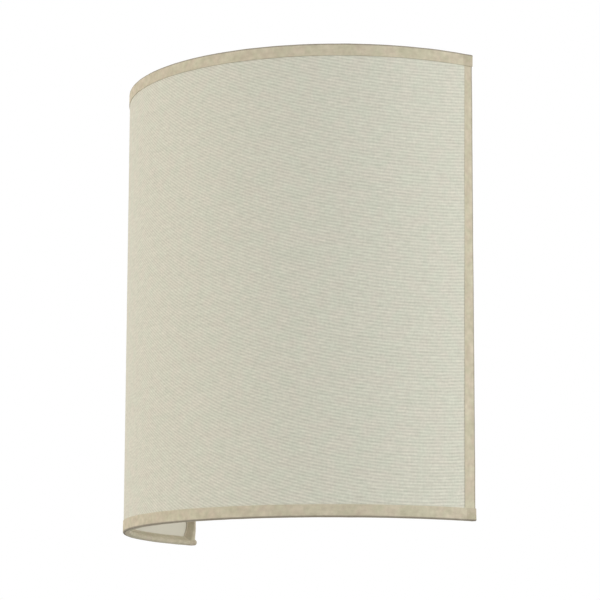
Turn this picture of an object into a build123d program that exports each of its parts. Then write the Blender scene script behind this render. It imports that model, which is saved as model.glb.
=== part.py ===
from build123d import *
import os
from math import acos, cos, degrees, pi, radians, sin, sqrt

# Half-drum fabric wall light, in millimetres.
# The wall is the plane y = 0, the light stands out along -Y, and +Z is up.
# The origin is the centre of the wall screw pattern, level with the shade's middle.

# ---------------------------------------------------------------- driving sizes

# Shade: a half drum whose axis lies a little behind the wall
shade_height = 250.0
shade_radius = 119.5
axis_setback = 9.0
wall_gap = 1.0
cloth_thickness = 0.6
liner_thickness = 0.4
tape_thickness = 0.5
tape_outer_leg = 6.6
tape_inner_leg = 8.0
tape_fold_radius = 0.3
glue_line = 0.05
wire_diameter = 2.4

# Crossbars that carry the shade on two studs
bar_width = 12.0
bar_thickness = 1.5
bar_bend_radius = 6.0
bar_side_margin = 6.0
bar_joggle_run = 30.0
bar_clearance = 4.0
bar_hole_clearance = 0.3
bar_slit_clearance = 0.3

# Studs and thumb nuts
stud_diameter = 4.0
stud_length = 15.0
stud_head_diameter = 8.0
stud_head_height = 2.4
hex_nut_width = 7.0
hex_nut_height = 3.2
seat_gap = 0.05
thread_clearance = 0.05
thumb_collar_diameter = 9.0
thumb_collar_height = 2.5
thumb_head_diameter = 14.0
thumb_head_height = 6.0
thumb_flutes = 20
thumb_flute_radius = 0.7
thumb_edge_chamfer = 0.6

# Screw heads, as shares of their own width and height
head_bevel_share = 0.4
slot_width_share = 0.16
slot_floor_share = 0.5

# Canopy: a pressed box over the wiring
canopy_width = 64.0
canopy_depth = 22.0
canopy_wall = 1.0
canopy_corner_radius = 9.0
canopy_edge_radius = 3.0
canopy_end_margin = 12.0
canopy_back_gap = 0.5
canopy_screw_diameter = 4.0
canopy_screw_length = 9.0
canopy_screw_head_diameter = 7.5
canopy_screw_head_height = 2.2
canopy_screw_stand_off = 11.0
clearance_hole_extra = 0.4

# Mounting strap
strap_width = 30.0
strap_thickness = 2.0
strap_bend_radius = 2.5
ear_length = 16.0
ear_gap = 0.3
wall_screw_spacing = 60.0
wall_slot_width = 5.0
wall_slot_length = 12.0
supply_hole_diameter = 14.0
grommet_bore = 8.0
grommet_flange_diameter = 18.0
grommet_flange_thickness = 1.5

# Terminal block with three poles
block_width = 31.0
block_height = 16.0
block_depth = 12.0
block_edge_chamfer = 1.0
block_above_slot = 10.0
pole_pitch = 10.0
insert_side = 4.0
insert_bore = 2.6
insert_axis_stand_off = 5.5
clamp_screw_diameter = 2.6
clamp_screw_length = 5.0
clamp_screw_pitch = 7.5
clamp_well_diameter = 3.6
block_screw_diameter = 2.5
block_screw_head_diameter = 3.8
block_screw_head_height = 1.2
slot_cut_width = 0.6
slot_cut_depth = 0.7

# Earth connection on the strap
earth_drop = 46.0
earth_screw_diameter = 4.0
earth_screw_head_diameter = 7.0
earth_screw_head_height = 2.4
lug_ring_diameter = 8.0
lug_thickness = 0.8
lug_barrel_diameter = 3.2
lug_barrel_length = 6.0

# Bent hollow arm
arm_drop = 66.0
arm_diameter = 10.0
arm_bore = 8.0
arm_bend_radius = 16.0
arm_inner_reach = 6.5
arm_entry = 6.0
arm_rise = 4.0
arm_nut_width = 14.0
arm_nut_height = 3.0
arm_washer_diameter = 15.0
arm_washer_thickness = 1.0

# Leads
lead_diameter = 2.2
lead_pair_spacing = 3.2
lead_turn_radius = 5.0
lead_stand_off = 7.5
lead_swing = 8.9

# E27 lampholder
holder_height = 56.0
holder_boss_diameter = 17.0
holder_boss_height = 8.0
holder_diameter = 39.0
holder_wall = 1.8
holder_socket_depth = 24.0
holder_lap = 6.0
holder_joint_gap = 0.05
groove_depth = 0.6
groove_width = 2.0
groove_pitch = 5.0
groove_count = 4
insert_thickness = 10.0
insert_rim_height = 3.0
shell_thickness = 0.4
shell_below_rim = 2.0
shell_clearance = 0.15
contact_length = 14.0
contact_width = 6.0
contact_thickness = 0.5
contact_rise = 3.0
grub_screw_diameter = 3.0
grub_screw_stand_out = 1.0

# Globe LED lamp
bulb_length = 78.0
globe_diameter = 45.0
globe_wall = 1.2
cap_diameter = 26.4
cap_length = 19.0
cap_wall = 0.4
tip_diameter = 9.0
tip_height = 1.0
insulator_height = 4.5
insulator_top_diameter = 22.0
bulb_neck_diameter = 27.5
bulb_body_top_diameter = 37.0
bulb_body_height = 18.0
board_thickness = 1.2

# ---------------------------------------------------------------- worked-out places

panel_thickness = cloth_thickness + liner_thickness
liner_inner_radius = shade_radius - panel_thickness
wire_radius = wire_diameter / 2
fold_radius = wire_radius + glue_line + tape_thickness / 2
edge_angle = degrees(acos((axis_setback + wall_gap) / shade_radius))
rim_height = shade_height / 2

# Places in the tape's own section: across from the liner's inner face, along from the edge
tape_outer_line = panel_thickness + glue_line + tape_thickness / 2
tape_inner_line = -(glue_line + tape_thickness / 2)
wire_across = -(glue_line + wire_radius)
wire_along = -(tape_thickness + glue_line + wire_radius)
leave_along = wire_along - fold_radius * (sqrt(2) - 1)
panel_edge = tape_thickness + glue_line

canopy_front = -(canopy_depth + canopy_back_gap)
canopy_inside = canopy_front + canopy_wall
shade_front_inside = axis_setback - liner_inner_radius
lamp_y = (canopy_front + shade_front_inside) / 2
arm_z = -arm_drop
holder_z = arm_z + arm_bend_radius + arm_rise
holder_rim_z = holder_z + holder_height
insert_top_z = holder_rim_z - holder_socket_depth
insert_bottom_z = insert_top_z - insert_thickness
bulb_z = insert_top_z + contact_rise + seat_gap
bulb_top_z = bulb_z + bulb_length

bar_z = max(bulb_top_z, arm_drop + arm_nut_width / 2) + bar_clearance + bar_width / 2
bar_seat_y = canopy_front - hex_nut_height - seat_gap
bar_mid_y = bar_seat_y - bar_thickness / 2
nut_seat_y = bar_seat_y - bar_thickness - seat_gap

canopy_height = 2 * (bar_z + canopy_end_margin)
ear_z = canopy_height / 2 - canopy_wall - ear_gap
block_z = wall_screw_spacing / 2 + wall_slot_length / 2 + block_above_slot
pole_y = -(strap_thickness + insert_axis_stand_off)
lead_y = -lead_stand_off
shell_inner_radius = cap_diameter / 2 + shell_clearance

shade_axis = Pos(0, axis_setback, 0)


# ---------------------------------------------------------------- shared shapes

def rod(diameter, length):
    """A round bar that stands on z = 0."""
    return extrude(Circle(diameter / 2), length)


def ring(outer, inner, length):
    """A round tube that stands on z = 0."""
    return extrude(Circle(outer / 2) - Circle(inner / 2), length)


def toward_viewer(x, y, z):
    """Turns a piece made along +Z so that it points along -Y from the given place."""
    return Pos(x, y, z) * Rot(90, 0, 0)


def hex_nut(width, bore, height):
    """A hexagon nut with two flats level, chamfered on its outer face."""
    blank = extrude(RegularPolygon(width / 2, 6, major_radius=False, rotation=30), height)
    corner = width / sqrt(3)
    trim = revolve(make_face(Polyline(
        (0, 0), (corner, 0), (corner, height - (corner - width / 2) / 2),
        (width / 2, height), (0, height), (0, 0))).rotate(Axis.X, 90), Axis.Z)
    return (blank & trim) - rod(bore, height)


def pan_head(diameter, height):
    """A screw head with a bevelled rim and one slot, standing on z = 0."""
    head = rod(diameter, height)
    head = chamfer(head.edges().group_by(Axis.Z)[-1], height * head_bevel_share)
    slot = Box(diameter, diameter * slot_width_share, height,
               align=(Align.CENTER, Align.CENTER, Align.MIN))
    return head - Pos(0, 0, height * slot_floor_share) * slot


def screw(shank_diameter, shank_length, head_diameter, head_height):
    """A pan-head screw: its head stands on z = 0 and its shank runs down."""
    shank = Pos(0, 0, -shank_length) * rod(shank_diameter, shank_length)
    return pan_head(head_diameter, head_height) + shank


def mirrored(shape, plane):
    return mirror(shape, about=plane)


# ---------------------------------------------------------------- shade frame

def rim_place(across, along):
    """A place in the top rim's section: across from the liner's face, along from the rim."""
    return liner_inner_radius + across, rim_height + along


def edge_place(across, along):
    """The same at the right-hand edge, in plan, with the drum's axis in the middle."""
    radius = liner_inner_radius + across
    angle = radians(edge_angle) + along / liner_inner_radius
    return radius * sin(angle), -radius * cos(angle)


def leg(place, across, start, end):
    """A stretch of tape along the cloth: straight up a rim's section, curved in plan."""
    first, last = place(across, start), place(across, end)
    if place is rim_place:
        return Line(first, last)
    return ThreePointArc(first, place(across, (start + end) / 2), last)


def tape_path(place):
    """The middle line of the folded tape: outer leg, crown, round the wire, inner leg."""
    nose_line = wire_across - fold_radius
    land = leave_along - (tape_inner_line - nose_line)
    outer_turn = -(tape_thickness + tape_fold_radius)
    inner_turn = land - tape_thickness
    nose = [
        place(tape_outer_line, outer_turn),
        place(tape_outer_line, -tape_thickness / 2),
        place(nose_line, -tape_thickness / 2),
        place(nose_line, leave_along),
        place(tape_inner_line, land),
        place(tape_inner_line, inner_turn),
    ]
    snug = 0.97 * fold_radius
    turns = FilletPolyline(*nose, radius=[tape_fold_radius, snug, snug, tape_fold_radius])
    outer_leg = leg(place, tape_outer_line, -tape_outer_leg, outer_turn)
    inner_leg = leg(place, tape_inner_line, inner_turn, -tape_inner_leg)
    return Wire(outer_leg.edges() + turns.edges() + inner_leg.edges())


def tape_section(place):
    """The folded tape, cut across."""
    return trace(tape_path(place), tape_thickness)


def filled_section():
    """The rim's folded tape with everything that it wraps, cut across."""
    path = tape_path(rim_place)
    core = make_face(path.edges() + [Line(path @ 1, path @ 0)])
    return core + tape_section(rim_place)


def rim_sweep(section, start, end):
    """Turns a section of the rim round the drum's axis."""
    turned_section = revolve(Plane.XZ * section, Axis.Z, end - start)
    return shade_axis * Rot(0, 0, start - 90) * turned_section


def cap_angle():
    return degrees(tape_thickness / shade_radius)


def upright_centre():
    x, y = edge_place(wire_across, wire_along)
    return x, y + axis_setback


def drum_wall(inner, thickness):
    """A half drum between the two edge tapes and under the two rim tapes."""
    span = edge_angle - degrees(panel_edge / shade_radius)
    height = shade_height - 2 * panel_edge
    sheet = Plane.XZ * Pos(inner + thickness / 2, 0) * Rectangle(thickness, height)
    return shade_axis * Rot(0, 0, -90 - span) * revolve(sheet, Axis.Z, 2 * span)


def shade_cloth():
    return drum_wall(liner_inner_radius + liner_thickness, cloth_thickness)


def shade_liner():
    return drum_wall(liner_inner_radius, liner_thickness)


def hoop():
    """The top hoop wire, as long as the rim."""
    span = edge_angle - degrees(tape_thickness / shade_radius)
    wire = Pos(*rim_place(wire_across, wire_along)) * Circle(wire_radius)
    return rim_sweep(wire, -span, span)


def upright():
    """The right-hand upright wire, butted between the hoops."""
    half_length = rim_height + wire_along - wire_radius
    x, y = upright_centre()
    return Pos(x, y, -half_length) * rod(wire_diameter, 2 * half_length)


def upright_notch():
    """The slit in the rim tapes' inner legs that the right-hand upright stands in."""
    half_length = rim_height + wire_along - wire_radius + glue_line
    depth = 2 * (fold_radius + tape_thickness)
    slit = Box(depth, wire_diameter + glue_line, 2 * half_length,
               align=(Align.MAX, Align.CENTER, Align.CENTER))
    x, y = edge_place(glue_line, wire_along)
    turn = edge_angle + degrees(wire_along / liner_inner_radius) - 90
    return Pos(x, y + axis_setback, 0) * Rot(0, 0, turn) * slit


def rim_binding():
    """The top tape: one long fold, closed at its two ends, notched for the uprights."""
    fold = rim_sweep(tape_section(rim_place), -edge_angle, edge_angle)
    for start in (-edge_angle, edge_angle - cap_angle()):
        fold += rim_sweep(filled_section(), start, start + cap_angle())
    notch = upright_notch()
    return fold - notch - mirrored(notch, Plane.YZ)


def edge_binding():
    """The right-hand tape: cut short by the rim tapes, slit where the crossbars pass."""
    half_length = rim_height + leave_along
    fold = shade_axis * extrude(tape_section(edge_place), half_length, both=True)
    past = edge_angle + cap_angle()
    lap = rim_sweep(filled_section(), -past, past)
    fold = fold - lap - mirrored(lap, Plane.XY)
    for side in (-1, 1):
        fold -= bar_slit(side * bar_z)
    return fold.solids().sort_by(SortBy.VOLUME)[-1]


def bar_end_y():
    """The crossbar's middle line where it laps the front of the upright."""
    return upright_centre()[1] - wire_radius - bar_thickness / 2


def bar_slit(height):
    slit_width = bar_width + 2 * bar_slit_clearance
    slit_depth = bar_thickness + wire_radius + 2 * bar_slit_clearance
    x, y = upright_centre()
    reach = 2 * (wire_radius + tape_thickness + bar_slit_clearance)
    slit = Box(reach, slit_depth, slit_width, align=(Align.MAX, Align.MIN, Align.CENTER))
    back = bar_end_y() - bar_thickness / 2 - bar_slit_clearance
    return Pos(x + bar_slit_clearance, back, height) * slit


def crossbar(height):
    """A flat bar, joggled forward round the canopy, with a stud hole in its middle."""
    flat = canopy_width / 2 + bar_side_margin
    end_x, end_y = upright_centre()[0], bar_end_y()
    half = [(flat, bar_mid_y), (flat + bar_joggle_run, end_y), (end_x, end_y)]
    other = [(-x, y) for x, y in reversed(half)]
    path = FilletPolyline(*other, *half, radius=bar_bend_radius)
    bar = extrude(trace(path, bar_thickness), bar_width / 2, both=True)
    hole = rod(stud_diameter + 2 * bar_hole_clearance, 3 * bar_thickness)
    bar -= toward_viewer(0, bar_mid_y + 1.5 * bar_thickness, 0) * hole
    return Pos(0, 0, height) * bar


# ---------------------------------------------------------------- studs and thumb nuts

def shade_stud(height):
    """A screw set in the canopy's front from the inside, pointing at the viewer."""
    grip = canopy_wall + stud_length
    fixing = screw(stud_diameter, grip, stud_head_diameter, stud_head_height)
    return Pos(0, canopy_inside, height) * Rot(-90, 0, 0) * fixing


def stud_nut(height):
    nut = hex_nut(hex_nut_width, stud_diameter, hex_nut_height)
    return toward_viewer(0, canopy_front, height) * nut


def thumb_nut(height):
    """A collared nut with a fluted head, seated on the crossbar."""
    collar = rod(thumb_collar_diameter, thumb_collar_height)
    head = chamfer(rod(thumb_head_diameter, thumb_head_height).edges(), thumb_edge_chamfer)
    flute = rod(2 * thumb_flute_radius, thumb_head_height)
    rim = thumb_head_diameter / 2
    head -= [Rot(0, 0, n * 360 / thumb_flutes) * Pos(rim, 0, 0) * flute
             for n in range(thumb_flutes)]
    nut = collar + Pos(0, 0, thumb_collar_height) * head
    whole = thumb_collar_height + thumb_head_height
    nut -= rod(stud_diameter + 2 * thread_clearance, whole)
    return toward_viewer(0, nut_seat_y, height) * nut


# ---------------------------------------------------------------- canopy and strap

def canopy():
    """The pressed cover: round-cornered, open at the back, pierced for what it holds."""
    outline = RectangleRounded(canopy_width, canopy_height, canopy_corner_radius)
    box = extrude(outline, canopy_depth)
    box = fillet(box.faces().sort_by(Axis.Z)[-1].edges(), canopy_edge_radius)
    inner_outline = RectangleRounded(
        canopy_width - 2 * canopy_wall, canopy_height - 2 * canopy_wall,
        canopy_corner_radius - canopy_wall)
    inner = extrude(inner_outline, canopy_depth - canopy_wall)
    inner = fillet(inner.faces().sort_by(Axis.Z)[-1].edges(), canopy_edge_radius - canopy_wall)
    box -= inner
    stud_hole = rod(stud_diameter, canopy_depth)
    for side in (-1, 1):
        box -= Pos(0, side * bar_z, canopy_wall) * stud_hole
    box -= Pos(0, arm_z, canopy_wall) * rod(arm_diameter, canopy_depth)
    end_hole = rod(canopy_screw_diameter + clearance_hole_extra, canopy_height)
    screw_line = canopy_screw_stand_off - canopy_back_gap
    box -= Pos(0, canopy_height / 2, screw_line) * Rot(90, 0, 0) * end_hole
    return Pos(0, -canopy_back_gap, 0) * Rot(90, 0, 0) * box


def canopy_screw():
    """The upper end screw, through the canopy into the strap's ear."""
    fixing = screw(canopy_screw_diameter, canopy_screw_length,
                   canopy_screw_head_diameter, canopy_screw_head_height)
    return Pos(0, -canopy_screw_stand_off, canopy_height / 2) * fixing


def mounting_strap():
    """A flat strap with both ends bent forward into tapped ears."""
    ear_line = ear_z - strap_thickness / 2
    back_line = strap_thickness / 2
    path = FilletPolyline(
        (ear_length, -ear_line), (back_line, -ear_line),
        (back_line, ear_line), (ear_length, ear_line),
        radius=strap_bend_radius)
    side = Plane(origin=(0, 0, 0), x_dir=(0, -1, 0), z_dir=(-1, 0, 0))
    strap = extrude(side * trace(path, strap_thickness), strap_width / 2, both=True)
    through = 3 * strap_thickness
    slot = extrude(SlotOverall(wall_slot_length, wall_slot_width, rotation=90), through)
    for end in (-1, 1):
        strap -= toward_viewer(0, strap_thickness, end * wall_screw_spacing / 2) * slot
        tapped = rod(canopy_screw_diameter, through)
        strap -= Pos(0, -canopy_screw_stand_off, end * ear_line - through / 2) * tapped
        fixing = rod(block_screw_diameter, through)
        strap -= toward_viewer(end * pole_pitch / 2, strap_thickness, block_middle_z()) * fixing
    strap -= toward_viewer(0, strap_thickness, 0) * rod(supply_hole_diameter, through)
    earth = rod(earth_screw_diameter, through)
    return strap - toward_viewer(pole_pitch, strap_thickness, -earth_drop) * earth


def supply_grommet():
    """A rubber ring with a flange on the strap's front and a plug through its hole."""
    plug = rod(supply_hole_diameter, strap_thickness)
    flange = rod(grommet_flange_diameter, grommet_flange_thickness)
    flange = chamfer(flange.edges().group_by(Axis.Z)[-1], grommet_flange_thickness / 2)
    body = plug + Pos(0, 0, strap_thickness) * flange
    body -= rod(grommet_bore, strap_thickness + grommet_flange_thickness)
    return toward_viewer(0, 0, 0) * body


# ---------------------------------------------------------------- terminal block and earth

def block_middle_z():
    return block_z + block_height / 2


def pole_places():
    return [-pole_pitch, 0, pole_pitch]


def clamp_places():
    """Where the clamp screws stand: two over each pole."""
    return [(x, block_middle_z() + end * clamp_screw_pitch / 2)
            for x in pole_places() for end in (-1, 1)]


def fixing_places():
    return [(-pole_pitch / 2, block_middle_z()), (pole_pitch / 2, block_middle_z())]


def terminal_block():
    """A moulded strip: a square channel and two screw wells for each pole."""
    block = Box(block_width, block_depth, block_height, align=(Align.CENTER, Align.MAX, Align.MIN))
    front = block.faces().sort_by(Axis.Y)[0]
    block = chamfer(front.edges(), block_edge_chamfer)
    block = Pos(0, -strap_thickness, block_z) * block
    for x in pole_places():
        channel = Box(insert_side, insert_side, block_height,
                      align=(Align.CENTER, Align.CENTER, Align.MIN))
        block -= Pos(x, pole_y, block_z) * channel
    well = rod(clamp_well_diameter, block_depth)
    for x, z in clamp_places():
        block -= toward_viewer(x, pole_y, z) * well
    hole = rod(block_screw_diameter, block_depth + strap_thickness)
    recess = rod(block_screw_head_diameter, block_depth)
    for x, z in fixing_places():
        block -= toward_viewer(x, 0, z) * hole
        block -= toward_viewer(x, -strap_thickness - block_depth / 2, z) * recess
    return block


def terminal_insert(x):
    """A square brass bar with a bore for the lead and two tapped cross holes."""
    bar = extrude(Rectangle(insert_side, insert_side), block_height)
    bar -= rod(insert_bore, block_height)
    bar = Pos(x, pole_y, block_z) * bar
    for at, z in clamp_places():
        if at == x:
            bar -= toward_viewer(x, pole_y, z) * rod(clamp_screw_diameter, insert_side)
    return bar


def clamp_screw(x, z):
    shank = rod(clamp_screw_diameter, clamp_screw_length)
    slot = Box(clamp_screw_diameter, slot_cut_width, 2 * slot_cut_depth)
    return toward_viewer(x, pole_y, z) * (shank - Pos(0, 0, clamp_screw_length) * slot)


def block_screw(x, z):
    head_y = -(strap_thickness + block_depth / 2)
    fixing = screw(block_screw_diameter, -head_y, block_screw_head_diameter, block_screw_head_height)
    return toward_viewer(x, head_y, z) * fixing


def earth_lug():
    """A ring tag under the earth screw, with a crimp barrel that points up."""
    tag = rod(lug_ring_diameter, lug_thickness)
    neck_end = lug_ring_diameter / 2 + lug_barrel_length / 2
    neck = Box(lug_barrel_diameter, neck_end, lug_thickness,
               align=(Align.CENTER, Align.MIN, Align.MIN))
    barrel = Pos(0, lug_ring_diameter / 2, lug_barrel_diameter / 2) * Rot(-90, 0, 0) * rod(
        lug_barrel_diameter, lug_barrel_length)
    tag = tag + neck + barrel - rod(earth_screw_diameter, lug_thickness)
    return toward_viewer(pole_pitch, -strap_thickness, -earth_drop) * tag


def earth_screw():
    grip = strap_thickness + lug_thickness
    fixing = screw(earth_screw_diameter, grip, earth_screw_head_diameter, earth_screw_head_height)
    return toward_viewer(pole_pitch, -grip, -earth_drop) * fixing


# ---------------------------------------------------------------- arm and leads

def arm_path():
    """From inside the canopy, out level, and up to the lampholder."""
    return FilletPolyline(
        (0, canopy_inside + arm_inner_reach, arm_z),
        (0, lamp_y, arm_z),
        (0, lamp_y, holder_z + arm_entry),
        radius=arm_bend_radius)


def arm_tube():
    path = arm_path()
    wall = Circle(arm_diameter / 2) - Circle(arm_bore / 2)
    return sweep(Plane(path @ 0, z_dir=path % 0) * wall, path)


def arm_nuts():
    """One nut each side of the canopy's front, over a washer."""
    nut = hex_nut(arm_nut_width, arm_diameter, arm_nut_height)
    outside = toward_viewer(0, canopy_front - arm_washer_thickness, arm_z) * nut
    inside_y = canopy_inside + arm_washer_thickness
    inside = Pos(0, inside_y, arm_z) * Rot(-90, 0, 0) * nut
    return [outside, inside]


def arm_washers():
    washer = ring(arm_washer_diameter, arm_diameter, arm_washer_thickness)
    outside = toward_viewer(0, canopy_front, arm_z) * washer
    inside = toward_viewer(0, canopy_inside + arm_washer_thickness, arm_z) * washer
    return [outside, inside]


def wire_along_path(points, radii):
    path = FilletPolyline(*points, radius=radii)
    lead = sweep(Plane(path @ 0, z_dir=path % 0) * Circle(lead_diameter / 2), path)
    share = lead.volume / (pi * (lead_diameter / 2) ** 2 * path.length)
    print(f"lead: {path.length:.1f} mm, volume over section times length {share:.4f}")
    return lead


def mains_lead(side, pole_x):
    """One of the pair: down the arm, back into the canopy, and up to its pole."""
    x = side * lead_pair_spacing / 2
    turn_z = arm_z + 2 * lead_turn_radius
    swing_x = x - lead_swing
    swing_z = turn_z + 2 * lead_swing
    jog = abs(pole_x - swing_x)
    points = [
        (x, lamp_y, insert_bottom_z),
        (x, lamp_y, arm_z),
        (x, lead_y, arm_z),
        (x, lead_y, turn_z),
        (swing_x, lead_y, swing_z),
        (swing_x, lead_y, block_z - jog - lead_turn_radius),
        (pole_x, lead_y, block_z - lead_turn_radius / 2),
        (pole_x, lead_y, block_z),
    ]
    short = lead_turn_radius
    radii = [arm_bend_radius, short, short, short, short / 2, short / 2]
    return wire_along_path(points, radii)


def earth_lead():
    """From the lug's barrel up to the third pole, in a slack curve."""
    x = pole_pitch
    start_y = -(strap_thickness + lug_barrel_diameter / 2)
    start_z = -earth_drop + lug_ring_diameter / 2 + lug_barrel_length
    rise = block_z - start_z
    points = [
        (x, start_y, start_z),
        (x, start_y, start_z + 0.12 * rise),
        (x, lead_y, start_z + 0.36 * rise),
        (x, lead_y, block_z),
    ]
    return wire_along_path(points, [4 * lead_turn_radius, 4 * lead_turn_radius])


# ---------------------------------------------------------------- lampholder

def turned(points):
    """A round piece from its half outline, given as (radius, height) points."""
    outline = make_face(Polyline(*points, points[0]))
    return Pos(0, lamp_y, 0) * revolve(Plane.XZ * outline, Axis.Z)


def holder_base():
    """The lower half: a threaded boss that opens into a tapered dome."""
    bottom = holder_z
    boss = holder_boss_diameter / 2
    wide = holder_diameter / 2 - holder_wall
    boss_top = bottom + holder_boss_height
    shoulder = insert_bottom_z
    top = shoulder + holder_lap
    bore = arm_diameter / 2
    outside = [(bore, bottom), (boss, bottom), (boss, boss_top), (wide, shoulder), (wide, top)]
    inside = [(wide - holder_wall, top), (wide - holder_wall, shoulder),
              (boss - holder_wall, boss_top + holder_wall), (bore, boss_top)]
    base = turned(outside + inside)
    grub = Pos(0, lamp_y, bottom + holder_boss_height / 2) * Rot(90, 0, 0)
    return base - grub * rod(grub_screw_diameter, boss + grub_screw_stand_out)


def holder_grub_screw():
    """Pins the arm in the boss, from the front."""
    length = (holder_boss_diameter - arm_diameter) / 2 + grub_screw_stand_out
    slot = Pos(0, 0, length) * Box(grub_screw_diameter, slot_cut_width, 2 * slot_cut_depth)
    pin = rod(grub_screw_diameter, length) - slot
    seat_y = lamp_y - arm_diameter / 2
    return toward_viewer(0, seat_y, holder_z + holder_boss_height / 2) * pin


def holder_skirt():
    """The upper half: a sleeve screwed over the base, grooved for grip, open at the top."""
    outer = holder_diameter / 2
    inner = outer - holder_wall + holder_joint_gap
    rim = groove_depth
    outline = [(inner, insert_bottom_z), (outer, insert_bottom_z)]
    for n in range(groove_count):
        low = insert_bottom_z + (n + 1) * groove_pitch - groove_width / 2
        outline += [(outer, low), (outer - groove_depth, low + groove_width / 2),
                    (outer, low + groove_width)]
    outline += [(outer, holder_rim_z - rim), (outer - rim, holder_rim_z), (inner, holder_rim_z)]
    return turned(outline)


def holder_insert():
    """The ceramic core: a disc that closes the holder below the lamp, dished on top."""
    wide = holder_diameter / 2 - 2 * holder_wall - holder_joint_gap
    bottom = insert_bottom_z
    seat = shell_inner_radius + shell_thickness + holder_joint_gap
    rim = insert_top_z + insert_rim_height
    return turned([(0, bottom), (wide, bottom), (wide, rim), (seat, rim),
                   (seat, insert_top_z), (0, insert_top_z)])


def holder_thread_shell():
    """The brass sleeve that the lamp's cap turns in, with a floor ring on the ceramic."""
    inner = shell_inner_radius
    outer = inner + shell_thickness
    top = holder_rim_z - shell_below_rim
    floor = insert_top_z
    lip = inner - 2 * shell_thickness
    return turned([(lip, floor), (outer, floor), (outer, top), (inner, top),
                   (inner, floor + shell_thickness), (lip, floor + shell_thickness)])


def holder_centre_contact():
    """A sprung tongue: flat on the ceramic, then raised under the lamp's tip."""
    low = insert_top_z + contact_thickness / 2
    high = insert_top_z + contact_rise - contact_thickness / 2
    half = contact_length / 2
    flat = 0.3 * contact_length
    path = Polyline((-half, low), (-half + flat, low), (-flat / 2, high), (flat, high))
    tongue = extrude(Plane.XZ * trace(path, contact_thickness), contact_width / 2, both=True)
    return Pos(0, lamp_y, 0) * tongue


# ---------------------------------------------------------------- globe lamp

def cap_bottom_z():
    return bulb_z + tip_height + insulator_height


def body_bottom_z():
    return cap_bottom_z() + cap_length


def body_top_z():
    return body_bottom_z() + bulb_body_height


def bulb_tip_contact():
    return Pos(0, lamp_y, bulb_z) * rod(tip_diameter, tip_height)


def bulb_insulator():
    """The black cone between the tip and the screw cap."""
    low = bulb_z + tip_height
    high = low + insulator_height
    return turned([(0, low), (tip_diameter / 2, low), (insulator_top_diameter / 2, high), (0, high)])


def bulb_screw_cap():
    """The metal cap, rolled in at its foot."""
    low = cap_bottom_z()
    high = body_bottom_z()
    outer = cap_diameter / 2
    foot = insulator_top_diameter / 2
    taper = outer - foot
    return turned([(foot - cap_wall, low), (foot, low), (outer, low + taper), (outer, high),
                   (outer - cap_wall, high), (outer - cap_wall, low + taper + cap_wall)])


def bulb_body():
    """The lamp's moulded neck, flaring from the cap to the globe."""
    low = body_bottom_z()
    high = body_top_z() - board_thickness
    neck = bulb_neck_diameter / 2
    wide = bulb_body_top_diameter / 2
    plug = cap_diameter / 2 - cap_wall
    outline = make_face(
        Polyline((0, high), (0, low - cap_length / 2), (plug, low - cap_length / 2),
                 (plug, low), (neck, low)).edges()
        + [Spline((neck, low), (wide, high), tangents=[(0, 1), (0.55, 1)]),
           Line((wide, high), (0, high))])
    return Pos(0, lamp_y, 0) * revolve(Plane.XZ * outline, Axis.Z)


def globe_centre_z():
    return bulb_top_z - globe_diameter / 2


def bulb_diffuser():
    """The opal globe, open where it seats on the neck."""
    globe = Sphere(globe_diameter / 2) - Sphere(globe_diameter / 2 - globe_wall)
    drop = globe_centre_z() - body_top_z()
    cutter = Pos(0, 0, -drop) * Box(globe_diameter, globe_diameter, globe_diameter,
                                    align=(Align.CENTER, Align.CENTER, Align.MAX))
    return Pos(0, lamp_y, globe_centre_z()) * (globe - cutter)


def led_board():
    """The aluminium disc that closes the neck under the globe."""
    return Pos(0, lamp_y, body_top_z() - board_thickness) * rod(
        bulb_body_top_diameter, board_thickness)


# ---------------------------------------------------------------- all the nodes

top_tape = rim_binding()
right_tape = edge_binding()

nodes = {
    "shade_cloth": [shade_cloth()],
    "shade_liner": [shade_liner()],
    "top_binding": [top_tape],
    "bottom_binding": [mirrored(top_tape, Plane.XY)],
    "right_binding": [right_tape],
    "left_binding": [mirrored(right_tape, Plane.YZ)],
    "top_hoop": [hoop()],
    "bottom_hoop": [mirrored(hoop(), Plane.XY)],
    "right_upright": [upright()],
    "left_upright": [mirrored(upright(), Plane.YZ)],
    "upper_crossbar": [crossbar(bar_z)],
    "lower_crossbar": [crossbar(-bar_z)],
    "upper_thumb_nut": [thumb_nut(bar_z)],
    "lower_thumb_nut": [thumb_nut(-bar_z)],
    "shade_studs": [shade_stud(bar_z), shade_stud(-bar_z)],
    "stud_nuts": [stud_nut(bar_z), stud_nut(-bar_z)],
    "canopy": [canopy()],
    "canopy_screws": [canopy_screw(), mirrored(canopy_screw(), Plane.XY)],
    "mounting_strap": [mounting_strap()],
    "supply_grommet": [supply_grommet()],
    "terminal_block": [terminal_block()],
    "terminal_inserts": [terminal_insert(x) for x in pole_places()],
    "terminal_clamp_screws": [clamp_screw(x, z) for x, z in clamp_places()],
    "terminal_fixing_screws": [block_screw(x, z) for x, z in fixing_places()],
    "earth_lug": [earth_lug()],
    "earth_screw": [earth_screw()],
    "arm_tube": [arm_tube()],
    "arm_lock_nuts": arm_nuts(),
    "arm_washers": arm_washers(),
    "live_lead": [mains_lead(-1, -pole_pitch)],
    "neutral_lead": [mains_lead(1, 0)],
    "earth_lead": [earth_lead()],
    "holder_base": [holder_base()],
    "holder_grub_screw": [holder_grub_screw()],
    "holder_skirt": [holder_skirt()],
    "holder_insert": [holder_insert()],
    "holder_thread_shell": [holder_thread_shell()],
    "holder_centre_contact": [holder_centre_contact()],
    "bulb_tip_contact": [bulb_tip_contact()],
    "bulb_insulator": [bulb_insulator()],
    "bulb_screw_cap": [bulb_screw_cap()],
    "bulb_body": [bulb_body()],
    "led_board": [led_board()],
    "bulb_diffuser": [bulb_diffuser()],
}

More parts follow.
